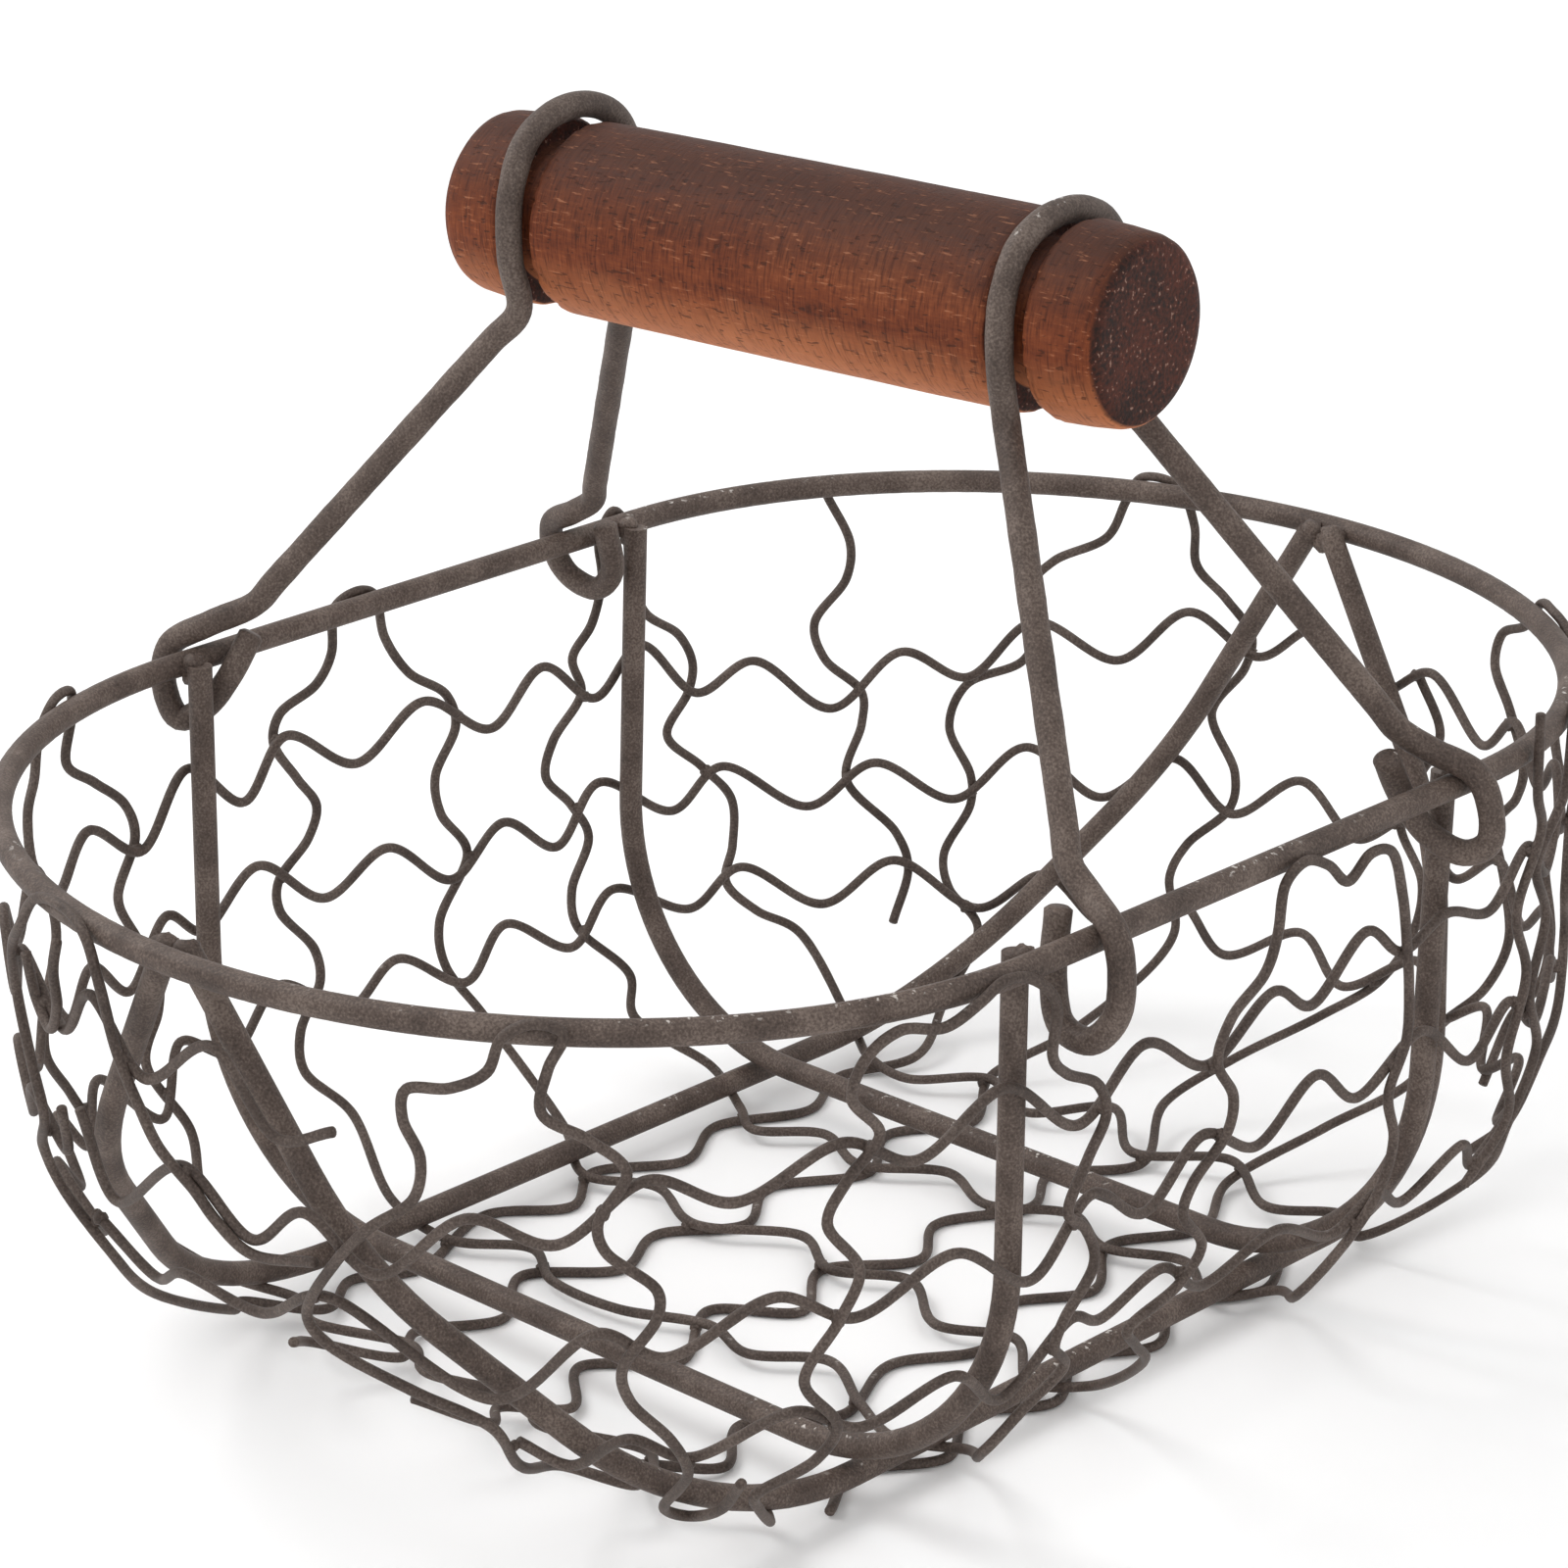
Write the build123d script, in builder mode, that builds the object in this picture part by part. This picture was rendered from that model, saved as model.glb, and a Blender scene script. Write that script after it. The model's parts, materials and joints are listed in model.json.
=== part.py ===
"""Wire produce basket: a welded wire tub with a crimped wire mesh, two hooked bails and a turned
wooden roller as its handle.

Frame: millimetres, +Z up, +Y along the length of the basket, +X across it along the handle.
The origin is on the surface that the basket stands on, under the middle of its rim.
"left" is the -X side, "front" is the -Y end.
"""
import os
from math import cos, hypot, pi, radians, sin, sqrt, tan

from build123d import *

os.makedirs("parts", exist_ok=True)

# ---------------------------------------------------------------- driving dimensions
FRAME_WIRE = 4.0            # rim, ribs and bails
MESH_WIRE = 1.5             # crimped mesh wire
GAP = 0.05                  # between wires that are spot welded where they cross
RUN_SHARE = 0.45            # of a straight run that each of its two end bends may take up

RIM_HALF_WIDTH = 91.0       # centre line, across the basket
RIM_STRAIGHT = 51.6         # half the length of each straight side
RIM_END_DEPTH = 81.6        # from the end of the straight to the tip of the rounded end

CROSS_RIB_DEPTH = 88.5      # rim centre line down to the bottom of a cross rib
CROSS_RIB_X = 86.9          # a rib stands just inside the rim
CROSS_RIB_BEND = 42.0
CROSS_RIB_OVER = 0.6        # its cut ends stand this far above the rim centre line
FRONT_RIB_Y = (-50.5, -51.5)    # at the rim, at the bottom
REAR_RIB_Y = (48.5, 45.0)

LONG_RIB_X = 56.5           # along the bottom
LONG_RIB_TOP_X = 2.3        # the two long ribs start side by side under the tip of the rim
# Each end of a long rib: x, y and drop of its bend in the end wall, and y of its corner.
FRONT_RIB_END = (29.0, 122.5, 43.0, 80.0)
REAR_RIB_END = (30.0, 126.5, 48.0, 92.0)
FRONT_RIB_BEND = 60.0
REAR_RIB_BEND = 56.0

ROLLER_LENGTH = 125.0
ROLLER_RADIUS = 15.3
ROLLER_END_RADIUS = 14.5    # outside the grooves it tapers to this
ROLLER_EDGE = 1.8
GROOVE_X = 47.0             # middle of each groove, from the middle of the roller
GROOVE_WIDTH = 6.4
GROOVE_RADIUS = 11.2
GROOVE_EDGE = 0.7
ROLLER_HEIGHT = 73.5        # roller axis above the rim centre line
HANDLE_TURN = 5.0           # degrees that the handle sits askew on the rim, seen from above

BAIL_SIDE = 14.4            # loop centre line beside the roller
BAIL_PINCH = 12.9           # the loop closes in a little under the roller and carries it
BAIL_PINCH_DROP = 13.0
BAIL_TOP = {"left": 17.5, "right": 15.8}    # loop centre line above the roller axis
HOOK_OUT = 6.0              # hook centre line outside the rim centre line
HOOK_IN = 5.3               # and inside it
HOOK_DROP = 14.5            # bottom of the hook below the rim centre line
HOOK_END = 5.0              # cut end of the hook above the rim centre line
HOOK_SHOULDER = 1.2         # corner of the wire outside the rim
HOOK_KNEE_IN = 7.4          # bend of the leg inside the rim, and its height above it
HOOK_KNEE_UP = 12.8
HOOK_LEAN = 3.0             # the leg starts this far towards the middle of the basket
HOOK_BENDS = (5.6, 5.6, 5.0, 20.0)      # two corners under the rim, the shoulder, the knee
LOOP_BENDS = (9.0, 13.4, 13.4, 9.0)     # round the roller

# Where each foot of a bail stands along the rim: at the shoulder, at the two lower corners of
# the hook and at its cut end. The wire is bent by hand, so no two hooks are alike.
HOOKS = {
    ("left", "front"): (-52.0, -46.5, -43.0, -41.0),
    ("left", "rear"): (29.0, 38.0, 42.5, 41.5),
    ("right", "front"): (-35.0, -39.5, -44.0, -44.0),
    ("right", "rear"): (39.0, 48.0, 41.0, 38.0),
}

# Crimped mesh wire: straight runs with rounded crests.
CRIMP_RADIUS = 4.0
CRIMP_SHARPEN = 0.1         # a corner stands this share of its height beyond the rounded crest
CUT_ROOM = 0.2              # a row is cut in the middle part of a run, clear of its bends

WALL_SKIN_IN = 1.1          # the mesh hugs the ribs this far inside the rim centre line
WALL_LEAN = (3.0, 15.0)     # below the rim it steps in over this stretch: start, length
SIDE_BEND = 44.5            # radius between wall and bottom at the long sides
FRONT_END_BEND = 76.0       # and at the rounded ends, of which the front one slopes more
REAR_END_BEND = 54.0
UPRIGHT_LAYER_AT = 9.0      # below this depth the uprights lie outside the rows
OVER_RIM_ROOM = 0.5         # an upright stands this far off the rim where it is bent over it

# Places on the wall are (distance along the rim, depth down the wall). Distance runs from the
# middle of the left side, past the rear end, the right side and the front end.
# Rows: the crests and troughs of each wire round the wall. Each starts at a cut end on the
# front end and stops a little past its own start, lower down.
ROWS = (
    ((-217, 19), (-208, 22), (-199, 10), (-183, 20), (-174, 10), (-162, 20), (-150, 12),
     (-137, 24), (-124, 16), (-110, 27), (-98, 20), (-88, 28), (-77, 21), (-62, 29), (-51, 18),
     (-39, 27), (-30, 18), (-14, 27), (1, 20), (17, 29), (29, 21), (42, 30), (53, 23), (67, 35),
     (79, 31), (95, 42), (108, 32), (120, 37), (132, 26), (147, 32), (160, 21), (173, 27),
     (185, 19), (198, 27), (211, 20), (226, 28), (237, 20), (249, 27), (260, 19), (271, 26),
     (283, 18), (294, 25), (305, 17), (317, 24), (329, 21), (340, 24), (349, 18), (362, 26),
     (371, 21), (386, 28), (401, 20), (415, 28), (432, 17), (448, 24), (460, 19), (476, 26),
     (488, 22), (501, 32), (513, 29), (528, 41), (538, 33), (549, 41), (559, 32), (583, 47),
     (585, 32)),
    ((-157, 35), (-153, 44), (-142, 38), (-130, 47), (-118, 40), (-106, 50), (-95, 43), (-86, 50),
     (-78, 44), (-67, 52), (-57, 42), (-49, 47), (-37, 39), (-22, 49), (-8, 44), (7, 54),
     (19, 47), (32, 55), (42, 46), (61, 56), (72, 50), (90, 60), (103, 53), (118, 60), (131, 50),
     (145, 58), (158, 49), (170, 57), (183, 48), (196, 55), (209, 47), (221, 54), (234, 46),
     (246, 53), (259, 45), (271, 52), (284, 44), (296, 50), (309, 42), (321, 48), (334, 39),
     (350, 45), (360, 38), (374, 45), (387, 39), (400, 47), (412, 40), (425, 49), (441, 40),
     (458, 46), (470, 41), (486, 50), (495, 46), (513, 63), (537, 48), (554, 58), (571, 57),
     (589, 66), (597, 58)),
    ((-151, 57), (-141, 65), (-129, 57), (-117, 67), (-105, 59), (-97, 68), (-82, 62), (-68, 74),
     (-57, 64), (-47, 69), (-34, 61), (-21, 69), (-8, 64), (5, 72), (17, 65), (30, 73), (43, 66),
     (60, 74), (74, 69), (90, 78), (106, 71), (123, 80), (136, 73), (150, 81), (163, 74),
     (177, 82), (191, 74), (206, 80), (220, 70), (232, 77), (245, 69), (257, 76), (270, 68),
     (282, 75), (295, 66), (307, 73), (319, 64), (331, 71), (341, 65), (349, 70), (367, 62),
     (383, 66), (395, 58), (408, 62), (415, 59), (427, 69), (440, 60), (455, 66), (466, 61),
     (482, 72), (491, 68), (503, 81), (511, 75)),
)
# Uprights in pairs: each is one wire, bent over against the outside of the rim.
HAIRPINS = (
    ((-28, 85), (-33, 76), (-31, 70), (-24, 63), (-24, 58), (-31, 49), (-31, 44), (-24, 38),
     (-22, 33), (-26, 27), (-31, 19), (-29, 15), (-20, 12), (-16, 8), (-15, 0), (-11, -2),
     (-6, 0), (-4, 8), (0, 15), (8, 21), (10, 27), (5, 35), (6, 42), (12, 51), (4, 61), (3, 68),
     (7, 78)),
    ((37, 88), (41, 81), (34, 70), (35, 64), (41, 56), (37, 49), (31, 42), (33, 36), (40, 29),
     (38, 22), (43, 17), (47, 10), (47, 3), (49, -2), (53, 1), (54, 11), (56, 18), (64, 24),
     (67, 30), (66, 35), (61, 42), (69, 50), (75, 57), (74, 65), (71, 71), (76, 77), (84, 82)),
    ((123, 83), (117, 76), (116, 70), (121, 61), (121, 56), (117, 47), (120, 39), (130, 34),
     (133, 26), (131, 20), (135, 15), (144, 10), (147, 3), (150, -2), (156, -1), (159, 6),
     (160, 13), (166, 18), (171, 24), (170, 30), (164, 40), (169, 50), (169, 56), (162, 64),
     (160, 70), (164, 80)),
    ((238, 86), (233, 78), (239, 67), (240, 58), (234, 50), (229, 42), (236, 34), (238, 28),
     (232, 20), (225, 14), (225, 9), (232, 5), (238, -1), (244, -2), (250, 0), (252, 8),
     (250, 16), (258, 24), (256, 32), (250, 40), (257, 50), (258, 58), (252, 67), (258, 78)),
    ((277, 84), (282, 74), (276, 64), (281, 53), (276, 42), (282, 32), (277, 21), (283, 10),
     (284, 0), (289, -2), (295, 0), (297, 10), (304, 20), (298, 31), (304, 42), (299, 53),
     (305, 64), (300, 76)),
    ((348, 84), (346, 70), (343, 62), (342, 54), (344, 46), (340, 38), (340, 29), (341, 22),
     (344, 13), (349, 4), (354, 3), (359, 6), (364, 2), (369, 0), (374, 2), (375, 10), (376, 16),
     (383, 21), (386, 27), (382, 34), (383, 39), (391, 45), (393, 49), (388, 56), (392, 61),
     (402, 65), (398, 70), (392, 76)),
    ((425, 80), (422, 72), (416, 66), (420, 61), (419, 57), (413, 50), (415, 44), (419, 40),
     (415, 33), (411, 27), (413, 22), (420, 18), (424, 14), (425, 5), (430, 0), (435, -1),
     (440, 1), (446, 3), (453, 2), (458, 5), (460, 11), (455, 18), (460, 24), (463, 30),
     (458, 38), (461, 45), (466, 54), (460, 63), (462, 70), (470, 80), (468, 86)),
    ((473, 76), (475, 88), (480, 96), (485, 91), (482, 73), (485, 65), (491, 57), (492, 51),
     (487, 42), (487, 38), (494, 32), (495, 28), (491, 20), (496, 15), (502, 11), (501, 4),
     (499, -1), (503, -2), (507, 0), (509, 5), (514, 8), (520, 9), (521, 14), (519, 20),
     (520, 26), (527, 32), (533, 39), (541, 52), (539, 57), (526, 63), (514, 68), (512, 81)),
    ((-213, 40), (-201, 42), (-196, 38), (-193, 34), (-187, 29), (-184, 24), (-180, 17),
     (-179, 6), (-176, 0), (-170, -2), (-162, -1), (-157, 5), (-151, 11), (-147, 20), (-152, 29),
     (-153, 37), (-145, 46), (-144, 54), (-150, 64), (-144, 76)),
    ((-96, 78), (-88, 69), (-90, 61), (-95, 52), (-91, 45), (-86, 36), (-88, 28), (-94, 20),
     (-92, 13), (-87, 9), (-84, 3), (-81, -2), (-76, -2), (-74, 3), (-77, 10), (-71, 15),
     (-64, 21), (-62, 27), (-67, 36), (-63, 44), (-58, 52), (-59, 58), (-65, 65), (-61, 78),
     (-66, 85)),
)
# Single uprights: from their place under or over the rim down to a cut end.
SHORT_WIRES = (
    ((95, 3), (99, 12), (98, 18), (92, 26), (94, 33), (101, 40), (101, 46), (98, 56), (107, 66),
     (109, 72), (105, 82)),
    ((206, 22), (212, 31), (207, 41), (204, 50), (212, 58), (214, 66), (212, 76), (204, 86)),
    ((310, -7), (310, 6), (305, 14), (311, 26), (306, 38), (312, 50), (307, 62), (312, 74)),
    ((-169, 3), (-167, 8), (-165, 15), (-161, 20), (-157, 17), (-158, 9)),
)
# Under the bottom: (x, y) of the crests.
FLOOR_CROSS_WIRES = (
    ((-64, -33), (-50, -33), (-38, -26), (-27, -32), (-12, -32), (3, -26), (14, -29), (25, -22),
     (38, -29), (50, -34), (62, -32)),
    ((-64, 7), (-52, 0), (-40, 5), (-25, -1), (-9, 8), (3, 2), (15, 8), (29, -1), (41, 4),
     (53, -6), (63, -4)),
    ((-64, 43), (-52, 38), (-44, 33), (-34, 40), (-21, 35), (-8, 43), (5, 38), (18, 45), (30, 39),
     (43, 44), (54, 37), (63, 42)),
    ((-58, 74), (-50, 69), (-39, 67), (-27, 75), (-14, 70), (-2, 79), (10, 70), (26, 77),
     (40, 69), (52, 74), (58, 70)),
    ((-60, -74), (-48, -68), (-36, -75), (-24, -66), (-11, -74), (2, -66), (14, -74), (27, -65),
     (39, -73), (51, -66), (60, -72)),
)
FLOOR_LONG_WIRES = (
    ((-45, -84), (-52, -76), (-46, -64), (-53, -52), (-48, -42), (-55, -20), (-47, -8), (-54, 4),
     (-46, 18), (-52, 32), (-45, 48), (-51, 62), (-45, 76), (-51, 90)),
    ((-24, -90), (-30, -81), (-23, -69), (-31, -58), (-25, -45), (-34, -32), (-24, -19),
     (-29, -6), (-21, 7), (-28, 20), (-20, 36), (-28, 50), (-21, 64), (-29, 78), (-23, 94)),
    ((3, -90), (9, -80), (1, -70), (6, -60), (-4, -48), (6, -36), (-3, -20), (8, -10), (0, 3),
     (9, 17), (2, 29), (9, 45), (3, 57), (12, 70), (4, 86), (9, 98)),
    ((31, -85), (37, -77), (29, -68), (36, -57), (28, -45), (37, -32), (31, -14), (38, 0),
     (30, 14), (37, 28), (28, 43), (35, 58), (28, 74), (34, 92)),
    ((57, -56), (51, -44), (58, -31), (51, -18), (58, -6), (51, 8), (57, 20), (50, 33), (57, 47),
     (52, 58)),
)
FLOOR_FLAT_Y = (-50.0, 62.0)    # outside these the long ribs curve up
FLOOR_BEND = 68.0

# ---------------------------------------------------------------- values worked out from them
FRAME_RADIUS = FRAME_WIRE / 2
MESH_RADIUS = MESH_WIRE / 2
LONG_RIB_DEPTH = CROSS_RIB_DEPTH + FRAME_WIRE + GAP
FLOOR_CROSS_DEPTH = LONG_RIB_DEPTH + FRAME_RADIUS + MESH_RADIUS + GAP
FLOOR_LONG_LAYER = MESH_WIRE + GAP
RIM_Z = FLOOR_CROSS_DEPTH + FLOOR_LONG_LAYER + MESH_RADIUS
RIM_TIP = RIM_STRAIGHT + RIM_END_DEPTH
ROLLER_Z = RIM_Z + ROLLER_HEIGHT
SKIN_OUT = FRAME_RADIUS + MESH_RADIUS + GAP
UPRIGHT_OUT = MESH_WIRE + 4 * GAP
END_ARC = pi * sqrt((RIM_HALF_WIDTH**2 + RIM_END_DEPTH**2) / 2)     # length of a rounded end
SIDE = 2 * RIM_STRAIGHT
PERIMETER = 2 * (SIDE + END_ARC)
ROW_BREAKS = (          # distances along the rim where rows cross the ribs
    FRONT_RIB_Y[0],
    REAR_RIB_Y[0],
    RIM_STRAIGHT + END_ARC / 2,
    SIDE + END_ARC - REAR_RIB_Y[0],
    SIDE + END_ARC - FRONT_RIB_Y[0],
    1.5 * SIDE + 1.5 * END_ARC,
)


# ---------------------------------------------------------------- wire helpers
def bend_radius(before, corner, after, wanted):
    """The wanted radius, or the largest that the two runs at a corner have room for."""
    run_in = Vector(*corner) - Vector(*before)
    run_out = Vector(*after) - Vector(*corner)
    half_turn = radians(run_in.get_angle(run_out)) / 2
    room = RUN_SHARE * min(run_in.length, run_out.length) / tan(half_turn)
    return min(wanted, room)


def bent_wire(points, radii, diameter):
    """A round wire of straight runs joined by tangent arcs."""
    fitted = [
        bend_radius(points[i], points[i + 1], points[i + 2], radii[i])
        for i in range(len(radii))
    ]
    with BuildPart() as wire:
        with BuildLine() as path:
            FilletPolyline(*points, radius=fitted)
        with BuildSketch(Plane(origin=path.line @ 0, z_dir=path.line % 0)):
            Circle(diameter / 2)
        sweep()
    return wire


def save(piece, label):
    piece.part.label = label
    export_step(piece.part, f"parts/{label}.step")


# ---------------------------------------------------------------- the wall that the mesh lies on
def rim_point(distance):
    """Centre line of the rim at a distance along it, with its outward direction."""
    u = (distance + RIM_STRAIGHT) % PERIMETER
    if u < SIDE:
        return -RIM_HALF_WIDTH, u - RIM_STRAIGHT, -1.0, 0.0
    if u < SIDE + END_ARC:
        turn = pi * (u - SIDE) / END_ARC
        side, end = -1.0, 1.0
    elif u < 2 * SIDE + END_ARC:
        return RIM_HALF_WIDTH, RIM_STRAIGHT - (u - SIDE - END_ARC), 1.0, 0.0
    else:
        turn = pi * (u - 2 * SIDE - END_ARC) / END_ARC
        side, end = 1.0, -1.0
    x = side * RIM_HALF_WIDTH * cos(turn)
    y = end * (RIM_STRAIGHT + RIM_END_DEPTH * sin(turn))
    across = side * cos(turn) / RIM_HALF_WIDTH
    along = end * sin(turn) / RIM_END_DEPTH
    length = hypot(across, along)
    return x, y, across / length, along / length


def wall_point(distance, down, layer):
    """A point on the mesh wall: distance along the rim, down the wall, and out by a layer."""
    x, y, out_x, out_y = rim_point(distance)
    end_bend = FRONT_END_BEND if out_y < 0 else REAR_END_BEND
    bend = SIDE_BEND + (end_bend - SIDE_BEND) * out_y**2
    straight = FLOOR_CROSS_DEPTH - bend
    lean = min(max((down - WALL_LEAN[0]) / WALL_LEAN[1], 0.0), 1.0)
    offset = SKIN_OUT - lean * (WALL_SKIN_IN + FRAME_RADIUS)
    if -SKIN_OUT < down < 0:
        offset = sqrt(SKIN_OUT**2 - down**2)
    if down <= straight:
        drop = down
        offset += layer
    else:
        turn = (down - straight) / bend
        drop = straight + (bend + layer) * sin(turn)
        offset += layer - (bend + layer) * (1 - cos(turn))
    return x + out_x * offset, y + out_y * offset, RIM_Z - drop


def upright_point(distance, down):
    """A point on an upright, which goes from just off the rim to outside the rows."""
    below = min(max(down / UPRIGHT_LAYER_AT, 0.0), 1.0)
    return wall_point(distance, down, OVER_RIM_ROOM + below * (UPRIGHT_OUT - OVER_RIM_ROOM))


def floor_point(x, y, layer):
    """A point a layer under the bottom wires, which curve up towards the rounded ends."""
    past_flat = max(FLOOR_FLAT_Y[0] - y, y - FLOOR_FLAT_Y[1], 0.0)
    level = sqrt(FLOOR_BEND**2 - past_flat**2)
    lift = FLOOR_BEND - level
    return x, y, RIM_Z - FLOOR_CROSS_DEPTH + lift - layer * FLOOR_BEND / level


def corners(crests):
    """The corners of the runs that make rounded crests at the given places."""
    sharp = [crests[0]]
    for before, crest, after in zip(crests, crests[1:], crests[2:]):
        sharp.append(tuple(
            middle + CRIMP_SHARPEN * (middle - (first + last) / 2)
            for first, middle, last in zip(before, crest, after)
        ))
    return sharp + [crests[-1]]


def cut_at_ribs(stations):
    """A row's stations in stretches that meet where the row crosses a rib."""
    stretches = [[stations[0]]]
    for before, after in zip(stations, stations[1:]):
        for turn in (-PERIMETER, 0, PERIMETER):
            for place in ROW_BREAKS:
                share = (place + turn - before[0]) / (after[0] - before[0])
                if 0 < share < 1:
                    middle = 0.5 if abs(share - 0.5) > CUT_ROOM else share
                    cut = tuple(a + middle * (b - a) for a, b in zip(before, after))
                    stretches[-1].append(cut)
                    stretches.append([cut])
        stretches[-1].append(after)
    return stretches


def crimped(points):
    return bent_wire(points, [CRIMP_RADIUS] * (len(points) - 2), MESH_WIRE)


# ---------------------------------------------------------------- frame wires
def make_rim():
    """One hoop, straight along both sides and rounded at both ends."""
    with BuildPart() as rim:
        with BuildLine(Plane.XY.offset(RIM_Z)) as path:
            Line((RIM_HALF_WIDTH, -RIM_STRAIGHT), (RIM_HALF_WIDTH, RIM_STRAIGHT))
            EllipticalCenterArc(
                (0, RIM_STRAIGHT), RIM_HALF_WIDTH, RIM_END_DEPTH, start_angle=0, arc_size=180
            )
            Line((-RIM_HALF_WIDTH, RIM_STRAIGHT), (-RIM_HALF_WIDTH, -RIM_STRAIGHT))
            EllipticalCenterArc(
                (0, -RIM_STRAIGHT), RIM_HALF_WIDTH, RIM_END_DEPTH, start_angle=180, arc_size=180
            )
        with BuildSketch(Plane(origin=(RIM_HALF_WIDTH, 0, RIM_Z), z_dir=(0, 1, 0))):
            Circle(FRAME_RADIUS)
        sweep(path=path.wires()[0])
    return rim


def make_cross_rib(y_rim, y_floor):
    """A U-shaped wire from one straight side of the rim to the other."""
    bottom = RIM_Z - CROSS_RIB_DEPTH
    points = [
        (-CROSS_RIB_X, y_rim, RIM_Z + CROSS_RIB_OVER),
        (-CROSS_RIB_X, y_floor, bottom),
        (CROSS_RIB_X, y_floor, bottom),
        (CROSS_RIB_X, y_rim, RIM_Z + CROSS_RIB_OVER),
    ]
    return bent_wire(points, [CROSS_RIB_BEND] * 2, FRAME_WIRE)


def make_long_rib(side):
    """A wire from the tip of one rounded end, along the bottom, to the other tip."""
    bottom = RIM_Z - LONG_RIB_DEPTH
    tip = RIM_TIP - FRAME_WIRE - GAP
    points = []
    for end, (wall_x, wall_y, wall_drop, corner_y) in ((-1, FRONT_RIB_END), (1, REAR_RIB_END)):
        half = [
            (side * LONG_RIB_TOP_X, end * tip, RIM_Z),
            (side * wall_x, end * wall_y, RIM_Z - wall_drop),
            (side * LONG_RIB_X, end * corner_y, bottom),
        ]
        points += half if end < 0 else half[::-1]
    bends = [FRONT_RIB_BEND] * 2 + [REAR_RIB_BEND] * 2
    return bent_wire(points, bends, FRAME_WIRE)


# ---------------------------------------------------------------- handle
def handle_point(along, across, up):
    """A point given along the roller's axis, across it and above it."""
    turn = radians(HANDLE_TURN)
    x = along * cos(turn) - across * sin(turn)
    y = along * sin(turn) + across * cos(turn)
    return x, y, ROLLER_Z + up


def hook_points(side_name, end_name):
    """From the cut end of a hook, under the rim and up over it to the knee of the leg."""
    side = -1 if side_name == "left" else 1
    shoulder, outer, inner, cut = HOOKS[side_name, end_name]
    outside = side * (RIM_HALF_WIDTH + HOOK_OUT)
    inside = side * (RIM_HALF_WIDTH - HOOK_IN)
    knee = side * (RIM_HALF_WIDTH - HOOK_KNEE_IN)
    lean = HOOK_LEAN if end_name == "front" else -HOOK_LEAN
    return [
        (inside, cut, RIM_Z + HOOK_END),
        (inside, inner, RIM_Z - HOOK_DROP),
        (outside, outer, RIM_Z - HOOK_DROP),
        (outside, shoulder, RIM_Z + HOOK_SHOULDER),
        (knee, shoulder + lean, RIM_Z + HOOK_KNEE_UP),
    ]


def make_bail(side_name):
    """One wire: a hook, a leg, the loop over the roller, the other leg and the other hook."""
    side = -1 if side_name == "left" else 1
    top = BAIL_TOP[side_name]
    loop = [
        handle_point(side * GROOVE_X, -BAIL_PINCH, -BAIL_PINCH_DROP),
        handle_point(side * GROOVE_X, -BAIL_SIDE, top),
        handle_point(side * GROOVE_X, BAIL_SIDE, top),
        handle_point(side * GROOVE_X, BAIL_PINCH, -BAIL_PINCH_DROP),
    ]
    points = hook_points(side_name, "front") + loop + hook_points(side_name, "rear")[::-1]
    return bent_wire(points, HOOK_BENDS + LOOP_BENDS + HOOK_BENDS[::-1], FRAME_WIRE)


def make_roller():
    """Turned wood with a groove near each end for the bails."""
    half = ROLLER_LENGTH / 2
    groove_start = GROOVE_X - GROOVE_WIDTH / 2
    groove_end = GROOVE_X + GROOVE_WIDTH / 2
    axis = Plane(
        origin=(0, 0, ROLLER_Z),
        x_dir=(cos(radians(HANDLE_TURN)), sin(radians(HANDLE_TURN)), 0),
        z_dir=(sin(radians(HANDLE_TURN)), -cos(radians(HANDLE_TURN)), 0),
    )
    with BuildPart() as roller:
        with BuildSketch(axis):
            with BuildLine():
                Polyline(
                    (0, 0),
                    (half, 0),
                    (half, ROLLER_END_RADIUS),
                    (groove_end, ROLLER_RADIUS),
                    (groove_end, GROOVE_RADIUS),
                    (groove_start, GROOVE_RADIUS),
                    (groove_start, ROLLER_RADIUS),
                    (0, ROLLER_RADIUS),
                    close=True,
                )
            make_face()
            mirror(about=Plane.YZ)
        revolve(axis=Axis((0, 0, ROLLER_Z), axis.x_dir))
        circles = roller.edges().filter_by(GeomType.CIRCLE)
        ends = circles.filter_by(lambda edge: abs(edge.radius - ROLLER_END_RADIUS) < 0.01)
        grooves = circles.filter_by(lambda edge: abs(edge.radius - ROLLER_RADIUS) < 0.01)
        fillet(ends, ROLLER_EDGE)
        fillet(grooves, GROOVE_EDGE)
    return roller


# ---------------------------------------------------------------- mesh
def make_row(stations):
    return crimped([wall_point(distance, down, 0.0) for distance, down in stations])


def make_upright(stations):
    return crimped([upright_point(distance, down) for distance, down in corners(stations)])


def make_floor_wire(stations, layer):
    return crimped([floor_point(x, y, layer) for x, y in corners(stations)])


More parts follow.
